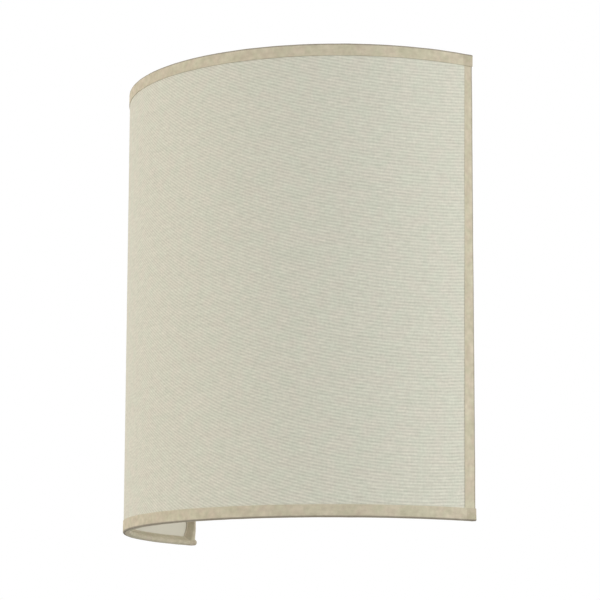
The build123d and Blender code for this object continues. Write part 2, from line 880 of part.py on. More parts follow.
os.makedirs("parts", exist_ok=True)
for name, pieces in nodes.items():
    solids = [solid for piece in pieces for solid in piece.solids()]
    shape = solids[0] if len(solids) == 1 else Compound(children=solids)
    export_step(shape, f"parts/{name}.step")
print(f"{len(nodes)} nodes, crossbars at {bar_z:.1f} mm, canopy {canopy_height:.1f} mm tall")
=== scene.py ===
from math import acos, asin, atan2, cos, hypot, pi, radians, sin

import bpy
from mathutils import Matrix, Vector


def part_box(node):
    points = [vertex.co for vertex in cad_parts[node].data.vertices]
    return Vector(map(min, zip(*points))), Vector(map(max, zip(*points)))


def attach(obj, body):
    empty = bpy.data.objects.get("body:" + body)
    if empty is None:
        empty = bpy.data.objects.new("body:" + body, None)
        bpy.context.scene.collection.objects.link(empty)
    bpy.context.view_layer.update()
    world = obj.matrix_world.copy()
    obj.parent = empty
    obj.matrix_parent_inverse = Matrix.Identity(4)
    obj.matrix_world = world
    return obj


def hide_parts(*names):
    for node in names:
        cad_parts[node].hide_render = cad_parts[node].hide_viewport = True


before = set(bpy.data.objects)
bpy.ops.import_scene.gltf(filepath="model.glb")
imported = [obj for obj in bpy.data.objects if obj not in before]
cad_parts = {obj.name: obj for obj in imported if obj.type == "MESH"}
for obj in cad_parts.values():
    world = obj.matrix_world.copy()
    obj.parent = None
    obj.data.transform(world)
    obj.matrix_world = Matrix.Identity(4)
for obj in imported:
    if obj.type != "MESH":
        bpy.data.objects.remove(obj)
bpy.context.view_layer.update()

# ---------------------------------------------------------------- the viewpoint
# A long lens held low and to the light's right, so that the shade is seen a little
# from below, with the near rear edge to the right and the far one to the left.

camera_place = Vector((1.0570, -0.9263, -0.2343))
camera_heading = radians(49.381)
camera_pitch = radians(9.742)
camera_roll = radians(0.198)
lens_length = 151.70
sensor_width = 36.0

bpy.ops.object.camera_add()
camera = bpy.context.object
camera.data.sensor_width = sensor_width
camera.data.lens = lens_length
camera.data.clip_end = 50.0
camera.matrix_world = (
    Matrix.Translation(camera_place)
    @ Matrix.Rotation(camera_heading, 4, "Z")
    @ Matrix.Rotation(radians(90) + camera_pitch, 4, "X")
    @ Matrix.Rotation(camera_roll, 4, "Z"))
bpy.context.scene.camera = camera
bpy.context.scene.view_settings.view_transform = "Standard"

# ---------------------------------------------------------------- the studio
# A white room: a pale floor well under the light, a sky that dims towards the ceiling
# and the floor, and soft panels left and right, so the drum is dimmest in the middle.


class Value:
    """A shader socket that takes part in ordinary sums, and adds any other node."""

    def __init__(self, socket):
        self.socket = socket

    def node(self, kind, settings, inputs, output=0):
        tree = self.socket.id_data
        made = tree.nodes.new("ShaderNode" + kind)
        for name, setting in settings.items():
            setattr(made, name, setting)
        for name, given in inputs.items():
            if isinstance(given, Value):
                tree.links.new(given.socket, made.inputs[name])
            else:
                made.inputs[name].default_value = given
        return Value(made.outputs[output])

    def maths(self, operation, first, second):
        return self.node("Math", {"operation": operation}, {0: first, 1: second})

    def __add__(self, other):
        return self.maths("ADD", self, other)

    __radd__ = __add__

    def __sub__(self, other):
        return self.maths("SUBTRACT", self, other)

    def __rsub__(self, other):
        return self.maths("SUBTRACT", other, self)

    def __mul__(self, other):
        return self.maths("MULTIPLY", self, other)

    __rmul__ = __mul__

    def __gt__(self, other):
        return self.maths("GREATER_THAN", self, other)

    def __abs__(self):
        return self.node("Math", {"operation": "ABSOLUTE"}, {0: self})

    def part(self, axis):
        return self.node("SeparateXYZ", {}, {0: self}, output=axis)

    def wave(self):
        return self.node("Math", {"operation": "SINE"}, {0: self})

    def feed(self, shader, name):
        self.socket.id_data.links.new(self.socket, shader.inputs[name])


def swatch(red, green, blue):
    """A colour read off a swatch, 0 to 255, as the shader wants it."""
    channels = [c / 255 for c in (red, green, blue)]
    linear = [c / 12.92 if c <= 0.04045 else ((c + 0.055) / 1.055) ** 2.4 for c in channels]
    return (*linear, 1.0)


def new_finish(name, colour, roughness, **constants):
    """A material with its fixed values set on the shader's own sockets."""
    material = bpy.data.materials.new(name)
    material.use_nodes = True
    shader = material.node_tree.nodes["Principled BSDF"]
    shader.inputs["Base Color"].default_value = colour
    shader.inputs["Roughness"].default_value = roughness
    for socket, value in constants.items():
        shader.inputs[socket.replace("_", " ")].default_value = value
    where = Value(material.node_tree.nodes.new("ShaderNodeTexCoord").outputs["Object"])
    return material, shader, where


def grain(where, per_metre, detail=2.0):
    """Noise about 0.5, with so many grains to the metre each way."""
    spread = where.node("VectorMath", {"operation": "MULTIPLY"}, {0: where, 1: per_metre})
    return where.node("TexNoise", {}, {"Vector": spread, "Scale": 1.0, "Detail": detail})


def shade_between(mask, first, second):
    """The first colour where the mask is 0, the second where it is 1."""
    return mask.node("Mix", {"data_type": "RGBA"}, {0: mask, 6: first, 7: second}, output=2)


def tint(shader, mask, first, second):
    """Colours the surface with the first colour where the mask is 0, the second where 1."""
    shade_between(mask, first, second).feed(shader, "Base Color")


floor_level = -1.8
floor_width = 16

floor_finish, floor_shader, floor_where = new_finish("floor_paint", swatch(198, 198, 196), 0.8)
floor_cloud = grain(floor_where, (3, 3, 3), detail=4.0)
tint(floor_shader, floor_cloud, swatch(194, 194, 192), swatch(202, 202, 201))

bpy.ops.mesh.primitive_plane_add(size=floor_width, location=(0, 0, floor_level))
floor = bpy.context.object
floor.name = "floor"
floor.data.materials.append(floor_finish)

sky_strength = 1.345
sky_dimming = 0.80

sky = bpy.data.worlds.new("sky")
bpy.context.scene.world = sky
sky.use_nodes = True
sky_way = Value(sky.node_tree.nodes.new("ShaderNodeTexCoord").outputs["Generated"])
sky_rise = sky_way.part(2)
room_light = sky_way.node("Background", {}, {
    "Color": (0.985, 0.995, 1.0, 1.0),
    "Strength": sky_strength * (1 - sky_dimming * sky_rise * sky_rise)})
backdrop = sky_way.node("Background", {}, {"Color": (1.0, 1.0, 1.0, 1.0), "Strength": 1.0})
seen = sky_way.node("LightPath", {}, {})
seen.node("MixShader", {}, {0: seen, 1: room_light, 2: backdrop}).feed(
    sky.node_tree.nodes["World Output"], "Surface")


def light_panel(name, turn, rise, distance, width, height, power, colour):
    """A soft panel facing the lamp, turned from the front and raised, in degrees."""
    aim = Vector((0, -0.05, 0))
    toward = Vector((
        sin(radians(turn)) * cos(radians(rise)),
        -cos(radians(turn)) * cos(radians(rise)),
        sin(radians(rise))))
    bpy.ops.object.light_add(type="AREA", location=aim + distance * toward)
    panel = bpy.context.object
    panel.name = name
    panel.rotation_euler = toward.to_track_quat("Z", "Y").to_euler()
    panel.data.shape = "RECTANGLE"
    panel.data.size = width
    panel.data.size_y = height
    panel.data.energy = power
    panel.data.color = colour
    panel.visible_camera = False


light_panel("left_panel", turn=-45, rise=4, distance=2.6, width=1.8, height=2.2,
            power=15.5, colour=(1.0, 0.79, 0.58))
light_panel("right_panel", turn=130, rise=4, distance=2.4, width=1.6, height=2.2,
            power=19, colour=(0.96, 0.97, 1.0))

# ---------------------------------------------------------------- the zinc-plated steel
# The strap that is screwed to the wall, the shade's studs and their nuts, and all small
# screws, nuts and washers: pressed or turned steel under a thin, slightly blotchy plating.


def dress(finish, *nodes):
    """Gives the named CAD pieces their finish."""
    for node in nodes:
        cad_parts[node].material_slots[0].material = finish


def roughen(shader, roughness):
    roughness.feed(shader, "Roughness")


def emboss(shader, height, depth):
    """Raises the surface by the height, 0 to 1, times the depth in metres."""
    height.node("Bump", {}, {"Height": height, "Distance": depth}).feed(shader, "Normal")


zinc, zinc_shader, zinc_where = new_finish(
    "zinc_plating", (0.60, 0.60, 0.58, 1), 0.35, Metallic=1.0)
zinc_bloom = grain(zinc_where, (160, 160, 160), detail=5.0)
zinc_brushing = grain(zinc_where, (2400, 2400, 90), detail=3.0)
tint(zinc_shader, zinc_bloom, (0.52, 0.52, 0.50, 1), (0.70, 0.69, 0.65, 1))
roughen(zinc_shader, 0.24 + 0.14 * zinc_bloom + 0.10 * zinc_brushing)
emboss(zinc_shader, zinc_brushing, depth=0.00001)
dress(zinc, "mounting_strap", "canopy_screws", "shade_studs", "stud_nuts", "arm_lock_nuts",
      "arm_washers", "terminal_clamp_screws", "terminal_fixing_screws", "holder_grub_screw")

# ---------------------------------------------------------------- the canopy and the arm
# A pressed steel box over the wall fixings and a bent tube that carries the lampholder,
# both powder-coated white, with the coat's faint orange peel.

paint, paint_shader, paint_where = new_finish("white_powder_coat", (0.82, 0.81, 0.78, 1), 0.4)
paint_peel = grain(paint_where, (900, 900, 900), detail=1.0)
paint_speck = grain(paint_where, (6000, 6000, 6000), detail=1.0)
paint_cloud = grain(paint_where, (45, 45, 45), detail=3.0)
tint(paint_shader, paint_cloud, (0.79, 0.78, 0.745, 1), (0.85, 0.84, 0.81, 1))
roughen(paint_shader, 0.32 + 0.12 * paint_cloud + 0.08 * paint_speck)
emboss(paint_shader, paint_peel + 0.25 * paint_speck, depth=0.00006)
dress(paint, "canopy", "arm_tube")

# ---------------------------------------------------------------- the supply grommet
# A soft black rubber ring pressed into the strap's hole, which keeps the supply cable
# off the steel. It is matt and a little dusty.

rubber, rubber_shader, rubber_where = new_finish("black_rubber", (0.03, 0.03, 0.03, 1), 0.7)
rubber_dust = grain(rubber_where, (700, 700, 700), detail=5.0)
tint(rubber_shader, rubber_dust, (0.018, 0.018, 0.018, 1), (0.055, 0.053, 0.05, 1))
roughen(rubber_shader, 0.58 + 0.25 * rubber_dust)
emboss(rubber_shader, rubber_dust, depth=0.00002)
dress(rubber, "supply_grommet")

# ---------------------------------------------------------------- the terminal block
# A three-way block moulded in pale nylon, with a turned brass insert in each way. The
# nylon is slightly waxy and the brass shows its turning marks.

nylon, nylon_shader, nylon_where = new_finish(
    "terminal_nylon", (0.75, 0.74, 0.70, 1), 0.45, Subsurface_Weight=0.08, Subsurface_Scale=0.002)
nylon_flow = grain(nylon_where, (120, 40, 120), detail=3.0)
nylon_spark = grain(nylon_where, (3500, 3500, 3500), detail=1.0)
tint(nylon_shader, nylon_flow, (0.71, 0.70, 0.655, 1), (0.79, 0.78, 0.745, 1))
roughen(nylon_shader, 0.36 + 0.12 * nylon_flow + 0.1 * nylon_spark)
emboss(nylon_shader, nylon_spark, depth=0.00002)
dress(nylon, "terminal_block")

brass, brass_shader, brass_where = new_finish(
    "turned_brass", (0.78, 0.62, 0.34, 1), 0.25, Metallic=1.0)
brass_tarnish = grain(brass_where, (220, 220, 220), detail=4.0)
brass_turning = grain(brass_where, (500, 9000, 500), detail=2.0)
tint(brass_shader, brass_tarnish, (0.68, 0.51, 0.25, 1), (0.86, 0.70, 0.40, 1))
roughen(brass_shader, 0.14 + 0.16 * brass_tarnish + 0.08 * brass_turning)
emboss(brass_shader, brass_turning, depth=0.000008)
dress(brass, "terminal_inserts")

# ---------------------------------------------------------------- the earthing point
# A tinned ring lug crimped on the end of the earth lead, and the brass screw that holds
# it down on the strap.

tin, tin_shader, tin_where = new_finish("tinned_brass", (0.70, 0.66, 0.55, 1), 0.35, Metallic=1.0)
tin_dulling = grain(tin_where, (260, 260, 260), detail=5.0)
tint(tin_shader, tin_dulling, (0.60, 0.55, 0.42, 1), (0.78, 0.76, 0.68, 1))
roughen(tin_shader, 0.26 + 0.2 * tin_dulling)
emboss(tin_shader, tin_dulling, depth=0.00001)
dress(tin, "earth_lug")
dress(brass, "earth_screw")

# ---------------------------------------------------------------- the internal leads
# Single wires in PVC sleeves, brown, blue and green with a yellow stripe down each side.
# The sleeves have the soft shine and the fine lengthwise streaks of extruded plastic.


def sleeve(name, darker, lighter, node):
    """A sleeve's finish, streaked along its length, on the lead that it covers."""
    finish, shader, where = new_finish(name, darker, 0.35)
    streak = grain(where, (1400, 1400, 60), detail=2.0)
    tone = shade_between(streak, darker, lighter)
    tone.feed(shader, "Base Color")
    roughen(shader, 0.28 + 0.16 * streak)
    emboss(shader, streak, depth=0.00001)
    dress(finish, node)
    return shader, where, tone


sleeve("brown_sleeve", (0.16, 0.065, 0.028, 1), (0.24, 0.11, 0.05, 1), "live_lead")
sleeve("blue_sleeve", (0.03, 0.13, 0.40, 1), (0.055, 0.19, 0.50, 1), "neutral_lead")
earth_shader, earth_where, earth_green = sleeve(
    "green_and_yellow_sleeve", (0.06, 0.30, 0.06, 1), (0.09, 0.38, 0.08, 1), "earth_lead")
earth_centre = (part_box("earth_lead")[0].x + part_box("earth_lead")[1].x) / 2
stripe_start = 0.0006
earth_stripe = abs(earth_where.part(0) - earth_centre) > stripe_start
tint(earth_shader, earth_stripe, earth_green, (0.80, 0.66, 0.05, 1))

# ---------------------------------------------------------------- the lampholder
# A heat-proof white moulding in two parts, with a glazed ceramic insert, a rolled screw
# shell and a springy brass contact at its foot.

moulding, moulding_shader, moulding_where = new_finish(
    "holder_moulding", (0.80, 0.79, 0.75, 1), 0.38)
moulding_cloud = grain(moulding_where, (90, 90, 90), detail=3.0)
moulding_spark = grain(moulding_where, (4200, 4200, 4200), detail=1.0)
tint(moulding_shader, moulding_cloud, (0.77, 0.755, 0.71, 1), (0.83, 0.82, 0.785, 1))
roughen(moulding_shader, 0.28 + 0.12 * moulding_cloud + 0.1 * moulding_spark)
emboss(moulding_shader, moulding_spark, depth=0.000015)
dress(moulding, "holder_base", "holder_skirt")

ceramic, ceramic_shader, ceramic_where = new_finish(
    "glazed_ceramic", (0.85, 0.84, 0.80, 1), 0.2, Coat_Weight=0.5, Coat_Roughness=0.08)
ceramic_fleck = grain(ceramic_where, (500, 500, 500), detail=4.0)
tint(ceramic_shader, ceramic_fleck, (0.80, 0.785, 0.735, 1), (0.88, 0.875, 0.84, 1))
roughen(ceramic_shader, 0.14 + 0.14 * ceramic_fleck)
emboss(ceramic_shader, ceramic_fleck, depth=0.00003)
dress(ceramic, "holder_insert")

lamp_thread_pitch = 0.0036
lamp_thread_depth = 0.0007


def ease(value, first, last, before, after):
    """Goes smoothly from one level to another while the value goes from first to last."""
    return value.node("MapRange", {"interpolation_type": "SMOOTHSTEP"}, {
        "Value": value, "From Min": first, "From Max": last, "To Min": before, "To Max": after})


def rolled_thread(where, node):
    """The crowns of a lamp's rolled thread on an upright sleeve, 0 to 1, with plain rims."""
    low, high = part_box(node)
    half_length = (high.z - low.z) / 2
    across = where.part(0) - (low.x + high.x) / 2
    back = where.part(1) - (low.y + high.y) / 2
    up = where.part(2)
    turn = back.maths("ARCTAN2", back, across)
    crowns = 0.5 + 0.5 * (2 * pi / lamp_thread_pitch * up - turn).wave()
    from_middle = abs(up - (low.z + high.z) / 2)
    return crowns * ease(from_middle, half_length - lamp_thread_pitch, half_length, 1.0, 0.0)


shell, shell_shader, shell_where = new_finish(
    "tinned_shell", (0.70, 0.66, 0.55, 1), 0.3, Metallic=1.0)
shell_haze = grain(shell_where, (260, 260, 260), detail=4.0)
tint(shell_shader, shell_haze, (0.62, 0.58, 0.48, 1), (0.77, 0.73, 0.62, 1))
roughen(shell_shader, 0.2 + 0.2 * shell_haze)
emboss(shell_shader, rolled_thread(shell_where, "holder_thread_shell"), depth=lamp_thread_depth)
dress(shell, "holder_thread_shell")
dress(tin, "bulb_tip_contact")
dress(brass, "holder_centre_contact")

# ---------------------------------------------------------------- the lamp
# A small globe LED lamp: an opal plastic globe on a white moulded body with an aluminium
# board between them, a nickel-plated screw cap, and a black glass insulator at its end.

opal, opal_shader, opal_where = new_finish("opal_globe", (0.92, 0.92, 0.90, 1), 0.34)
opal_cloud = grain(opal_where, (60, 60, 60), detail=3.0)
opal_frost = grain(opal_where, (5000, 5000, 5000), detail=1.0)
tint(opal_shader, opal_cloud, (0.90, 0.90, 0.875, 1), (0.94, 0.94, 0.925, 1))
roughen(opal_shader, 0.26 + 0.1 * opal_cloud + 0.08 * opal_frost)
emboss(opal_shader, opal_frost, depth=0.000008)
dress(opal, "bulb_diffuser")

body, body_shader, body_where = new_finish("lamp_moulding", (0.86, 0.86, 0.85, 1), 0.42)
body_cloud = grain(body_where, (110, 110, 110), detail=3.0)
body_spark = grain(body_where, (4500, 4500, 4500), detail=1.0)
tint(body_shader, body_cloud, (0.835, 0.835, 0.82, 1), (0.885, 0.885, 0.875, 1))
roughen(body_shader, 0.34 + 0.1 * body_cloud + 0.1 * body_spark)
emboss(body_shader, body_spark, depth=0.000015)
dress(body, "bulb_body")

board, board_shader, board_where = new_finish(
    "aluminium_board", (0.85, 0.85, 0.84, 1), 0.5, Metallic=0.6)
board_rolling = grain(board_where, (150, 5000, 150), detail=2.0)
tint(board_shader, board_rolling, (0.80, 0.80, 0.79, 1), (0.90, 0.90, 0.89, 1))
roughen(board_shader, 0.4 + 0.2 * board_rolling)
dress(board, "led_board")

nickel, nickel_shader, nickel_where = new_finish(
    "nickel_plating", (0.72, 0.71, 0.68, 1), 0.25, Metallic=1.0)
nickel_haze = grain(nickel_where, (240, 240, 240), detail=4.0)
nickel_spin = grain(nickel_where, (300, 300, 7000), detail=2.0)
tint(nickel_shader, nickel_haze, (0.64, 0.63, 0.60, 1), (0.78, 0.77, 0.74, 1))
roughen(nickel_shader, 0.16 + 0.14 * nickel_haze + 0.08 * nickel_spin)
emboss(nickel_shader, rolled_thread(nickel_where, "bulb_screw_cap") + 0.008 * nickel_spin,
       depth=lamp_thread_depth)
dress(nickel, "bulb_screw_cap")

glass, glass_shader, glass_where = new_finish(
    "black_glass", (0.02, 0.02, 0.02, 1), 0.12, Coat_Weight=0.6, Coat_Roughness=0.05)
glass_swirl = grain(glass_where, (400, 400, 400), detail=3.0)
tint(glass_shader, glass_swirl, (0.012, 0.012, 0.014, 1), (0.035, 0.033, 0.033, 1))
roughen(glass_shader, 0.06 + 0.14 * glass_swirl)
dress(glass, "bulb_insulator")

# ---------------------------------------------------------------- the wire frame
# Steel wire hoops and uprights with two flat crossbars spot-welded to them, all dipped in
# a soft white plastic that is a little thicker where it ran.

coating, coating_shader, coating_where = new_finish("white_dip_coat", (0.80, 0.79, 0.76, 1), 0.35)
coating_run = grain(coating_where, (260, 260, 120), detail=3.0)
coating_cloud = grain(coating_where, (50, 50, 50), detail=3.0)
tint(coating_shader, coating_cloud, (0.76, 0.745, 0.70, 1), (0.83, 0.82, 0.79, 1))
roughen(coating_shader, 0.24 + 0.16 * coating_run + 0.1 * coating_cloud)
emboss(coating_shader, coating_run, depth=0.00008)
dress(coating, "top_hoop", "bottom_hoop", "left_upright", "right_upright",
      "upper_crossbar", "lower_crossbar")

# ---------------------------------------------------------------- the thumb nuts
# Two knurled nuts, one on each stud, that hold the crossbars. They are turned from the
# same brass as the terminals' inserts.

dress(brass, "upper_thumb_nut", "lower_thumb_nut")

# ---------------------------------------------------------------- the liner
# The off-white plastic film on the back of the cloth, which stiffens the shade. It has a
# faint grain from the rollers that made it.

film, film_shader, film_where = new_finish("liner_film", swatch(202, 197, 179), 0.5)
film_grain = grain(film_where, (1300, 1300, 1300), detail=2.0)
film_cloud = grain(film_where, (35, 35, 12), detail=3.0)
tint(film_shader, film_cloud, swatch(197, 191, 172), swatch(206, 201, 184))
roughen(film_shader, 0.42 + 0.16 * film_grain)
emboss(film_shader, film_grain, depth=0.00003)
dress(film, "shade_liner")

# ---------------------------------------------------------------- the shade's cloth
# A sheet of plain linen-look weave, pressed onto the plastic liner and wrapped half
# round the drum. Its four edges disappear under the folded tape. Its faint ribs lie
# level near the right edge and slant more and more towards the left edge.

drum_axis = Vector((0, 0.009, 0))
cloth_radius = 0.1195
cloth_thickness = 0.0006
cloth_half_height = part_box("shade_cloth")[1].z
cloth_half_turn = asin(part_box("shade_cloth")[1].x / cloth_radius)
cloth_rows = 30
cloth_steps = 120
weft_pitch = 0.00072
warp_pitch = 0.00066
weft_wander = 0.0012
rib_pitch = 0.0017
rib_bow = 4.2
rib_level_at = 0.145
rib_straight_from = -0.03


def drum_place(turn, radius, height):
    """A place on the drum: turned from the front, out from its axis, and up."""
    return Vector((radius * sin(turn), drum_axis.y - radius * cos(turn), height))


def edit(piece):
    """Opens a piece for modelling, with nothing selected."""
    bpy.ops.object.select_all(action="DESELECT")
    bpy.context.view_layer.objects.active = piece
    piece.select_set(True)
    bpy.ops.object.mode_set(mode="EDIT")
    bpy.ops.mesh.select_all(action="DESELECT")


def draw_line(name, places):
    """A line of edges drawn out from one vertex, left open for modelling."""
    bpy.ops.mesh.primitive_plane_add(size=0.001, location=(0, 0, 0))
    line = bpy.context.object
    line.name = name
    edit(line)
    bpy.ops.mesh.select_all(action="SELECT")
    bpy.ops.mesh.merge(type="CENTER")
    bpy.ops.transform.translate(value=places[0])
    for before, after in zip(places, places[1:]):
        bpy.ops.mesh.extrude_region_move(TRANSFORM_OT_translate={"value": after - before})
    return line


def settle_faces():
    """Merges doubles and points the faces of an open sheet the same way."""
    bpy.ops.mesh.select_all(action="SELECT")
    bpy.ops.mesh.remove_doubles(threshold=1e-6)
    bpy.ops.mesh.normals_make_consistent(inside=False)


def thicken(piece, thickness, side):
    """Closes the piece, and gives the sheet its wall."""
    bpy.ops.object.mode_set(mode="OBJECT")
    wall = piece.modifiers.new("wall", "SOLIDIFY")
    wall.thickness = thickness
    wall.offset = side
    wall.use_even_offset = True
    bpy.ops.object.modifier_apply(modifier="wall")


def map_weave(piece, place_on_cloth):
    """UVs in metres, as the cloth lay flat before it was wrapped."""
    layer = piece.data.uv_layers.new(name="weave")
    spots = [place_on_cloth(vertex.co) for vertex in piece.data.vertices]
    for loop in piece.data.loops:
        layer.data[loop.index].uv = spots[loop.vertex_index]


def drum_turn(place):
    """How far a place is turned round the drum's axis, from the front to the right."""
    return atan2(place.x, drum_axis.y - place.y)


def round_the_drum(place):
    """The same as a length along the cloth."""
    return drum_turn(place) * cloth_radius


cloth = draw_line("linen_sheet", [
    drum_place(-cloth_half_turn, cloth_radius, -cloth_half_height),
    drum_place(-cloth_half_turn, cloth_radius, cloth_half_height)])
bpy.ops.mesh.select_all(action="SELECT")
bpy.ops.mesh.subdivide(number_cuts=cloth_rows)
bpy.ops.mesh.select_all(action="SELECT")
bpy.ops.mesh.spin(
    steps=cloth_steps, angle=-2 * cloth_half_turn, center=drum_axis, axis=(0, 0, 1))
settle_faces()
thicken(cloth, cloth_thickness, -1)
map_weave(cloth, lambda place: (round_the_drum(place), place.z))
bpy.ops.object.shade_smooth_by_angle(angle=radians(40))


def flat_place(finish_where):
    """The woven piece's own flat coordinates, as one vector and as its two parts."""
    flat = finish_where.node("UVMap", {"uv_map": "weave"}, {})
    return flat, flat.part(0), flat.part(1)


def plain_weave(one_way, other_way, one_pitch, other_pitch):
    """The crowns of threads that go over and under each other, 0 in the gaps to 1."""
    return abs((pi / one_pitch * one_way).wave() * (pi / other_pitch * other_way).wave())


linen, linen_shader, linen_where = new_finish("linen", swatch(208, 206, 190), 0.9)
linen_flat, linen_round, linen_up = flat_place(linen_where)
linen_wander = weft_wander * grain(linen_flat, (22, 90, 1))
linen_slub = grain(linen_flat, (200, 900, 1), detail=1.0)
linen_warp_slub = grain(linen_flat, (900, 500, 1), detail=1.0)
# How far the ribs drop from left to right: less and less steeply towards the right.
linen_bowed = linen_round.maths("MAXIMUM", linen_round, rib_straight_from)
linen_drop = rib_bow * (
    linen_round * (rib_level_at - linen_bowed) + 0.5 * linen_bowed * linen_bowed)
linen_rib = (2 * pi / rib_pitch * (linen_up + linen_drop + linen_wander)).wave()
linen_breaks = 0.3 + 1.4 * grain(linen_flat, (420, 420, 1), detail=1.0)
linen_crowns = plain_weave(linen_round, linen_up + linen_wander, warp_pitch, weft_pitch)
linen_dye = 3.5 * grain(linen_flat, (120, 120, 1), detail=3.0) - 1.25
linen_streak = grain(linen_flat, (32, 300, 1), detail=1.0)
linen_depth = (0.20 * linen_rib * linen_breaks + 0.6 * linen_slub + 0.5 * linen_warp_slub
               + 0.2 * linen_streak + 0.2 * linen_crowns - 0.21)
tint(linen_shader, linen_depth,
     shade_between(linen_dye, swatch(191, 187, 172), swatch(188, 188, 171)),
     shade_between(linen_dye, swatch(228, 224, 208), swatch(225, 225, 208)))
roughen(linen_shader, 0.96 - 0.2 * linen_crowns)
emboss(linen_shader, linen_crowns + 0.8 * linen_slub + 0.4 * linen_warp_slub, depth=0.00012)
cloth.data.materials.append(linen)
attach(cloth, "shade")
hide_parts("shade_cloth")

# ---------------------------------------------------------------- the top tape
# Cotton tape cut on the bias and glued over the top hoop: an outer leg on the cloth, a
# turn round the wire and an inner leg on the liner. It laps the tapes of the rear edges
# at the corners, where its ends are tucked round them.

liner_face = 0.1185
rim_height = 0.125
wall_gap = 0.001
edge_turn = acos((drum_axis.y + wall_gap) / cloth_radius)
tape_thickness = 0.0003
tape_waviness = 0.00022
tape_thread_pitch = 0.00045
turn_front = 0.00122
turn_back = -0.00320
turn_top = -0.00025
turn_foot = -0.00240
front_round = 0.0005
back_round = 0.0015
foot_round = 0.0006
inner_leg_face = -0.00030
inner_leg_start = -0.00460
inner_leg_round = 0.0003
rim_leg = 0.0066
rim_cut_across = 0.00118
rim_inner_leg = 0.0050
rim_end_round = 0.0009
rim_ripple = 0.009
rim_steps = 150
outer_leg_face = 0.001
outer_leg_start = 0.0011
outer_leg_rows = 3
round_segments = 4
edge_leg = 0.0061
lap_stand_out = 0.0003
lap_turn = radians(2.2)
lap_reach = 0.0035
# Where the painted shade on the tape's inner leg, inside the drum, begins and becomes full.
inner_shade_start = 0.003
inner_shade_end = 0.0055
# Where the painted line of shade along the tape's fold lies, and how wide it is.
fold_middle = -0.0001
fold_half_width = 0.0010
same_spot = 1e-6
same_line = 1e-5


def folded(outer_leg, cut_across, inner_leg):
    """The tape's line: across from the liner's face, along from the edge, turn width."""
    return [
        (cut_across, -outer_leg, 0),
        (turn_front, turn_top, front_round),
        (turn_back, turn_top, back_round),
        (turn_back, turn_foot, foot_round),
        (inner_leg_face, inner_leg_start, inner_leg_round),
        (inner_leg_face, -inner_leg, 0),
    ]


def select(piece, wanted):
    """Selects the vertices whose place passes the test, with the piece open."""
    bpy.ops.mesh.select_mode(type="VERT")
    bpy.ops.object.mode_set(mode="OBJECT")
    for part in (*piece.data.polygons, *piece.data.edges):
        part.select = False
    for vertex in piece.data.vertices:
        vertex.select = wanted(vertex.co)
    bpy.ops.object.mode_set(mode="EDIT")


def round_turns(piece, places, fold):
    """Rounds the turns of the fold's line, each by its own width."""
    for place, (across, along, width) in zip(places, fold):
        if width:
            select(piece, lambda spot: (spot - place).length < same_spot)
            bpy.ops.mesh.bevel(offset=width, segments=round_segments, affect="VERTICES")


def flat_width(piece, across_and_along):
    """How far each place of the fold lies from the tape's outer edge, measured flat."""
    chain = {vertex.index: [] for vertex in piece.data.vertices}
    for edge in piece.data.edges:
        first, last = edge.vertices
        chain[first].append(last)
        chain[last].append(first)
    ends = [index for index, linked in chain.items() if len(linked) == 1]
    here = max(ends, key=lambda index: across_and_along(piece.data.vertices[index].co)[0])
    line, before, far = [], None, 0.0
    while here is not None:
        line.append((*across_and_along(piece.data.vertices[here].co), far))
        following = [index for index in chain[here] if index != before]
        before, here = here, (following[0] if following else None)
        if here is not None:
            far += (piece.data.vertices[here].co - piece.data.vertices[before].co).length
    return line


def tape_spot(line, across, along):
    """The flat width at the nearest place of the fold's line."""
    return min(line, key=lambda spot: hypot(spot[0] - across, spot[1] - along))[2]


def ripple(piece, strength, size):
    """The small unevenness of tape that was stretched and glued by hand."""
    cloud = bpy.data.textures.new(piece.name + "_ripple", "CLOUDS")
    cloud.noise_scale = size
    wave = piece.modifiers.new("ripple", "DISPLACE")
    wave.texture = cloud
    wave.texture_coords = "LOCAL"
    wave.strength = strength
    wave.mid_level = 0.5
    bpy.ops.object.modifier_apply(modifier="ripple")


def rim_spot(place):
    """How far across from the liner's face and up from the rim a place lies."""
    return hypot(place.x, place.y - drum_axis.y) - liner_face, place.z - rim_height


rim_fold = folded(rim_leg, rim_cut_across, rim_inner_leg)
rim_line = [drum_place(-edge_turn, liner_face + across, rim_height + along)
            for across, along, width in rim_fold]
top_tape = draw_line("top_tape", rim_line)
round_turns(top_tape, rim_line, rim_fold)
select(top_tape, lambda spot: spot.z < rim_height - outer_leg_start
       and rim_spot(spot)[0] > outer_leg_face)
bpy.ops.mesh.subdivide(number_cuts=outer_leg_rows)
bpy.ops.object.mode_set(mode="OBJECT")
rim_width = flat_width(top_tape, rim_spot)
bpy.ops.object.mode_set(mode="EDIT")
bpy.ops.mesh.select_all(action="SELECT")
bpy.ops.mesh.spin(steps=rim_steps, angle=-2 * edge_turn, center=drum_axis, axis=(0, 0, 1))
settle_faces()
lap_growth = 1 + lap_stand_out / cloth_radius
for side in (-1, 1):
    select(top_tape, lambda spot: abs(drum_turn(spot) - side * edge_turn) < same_line)
    bpy.ops.mesh.edge_face_add()
    bpy.ops.mesh.bevel(
        offset=rim_end_round, segments=round_segments, affect="EDGES", clamp_overlap=True)
    select(top_tape, lambda spot: side * drum_turn(spot) > edge_turn - lap_turn
           and rim_spot(spot)[0] > 0)
    bpy.ops.transform.resize(
        value=(lap_growth, lap_growth, 1), center_override=drum_axis,
        use_proportional_edit=True, proportional_edit_falloff="SMOOTH",
        proportional_size=lap_reach)
bpy.ops.mesh.select_all(action="SELECT")
bpy.ops.mesh.normals_make_consistent(inside=False)
thicken(top_tape, tape_thickness, 0)
ripple(top_tape, tape_waviness, rim_ripple)
map_weave(top_tape, lambda place: (
    round_the_drum(place), tape_spot(rim_width, *rim_spot(place)) - rim_leg))
bpy.ops.object.shade_smooth_by_angle(angle=radians(50))

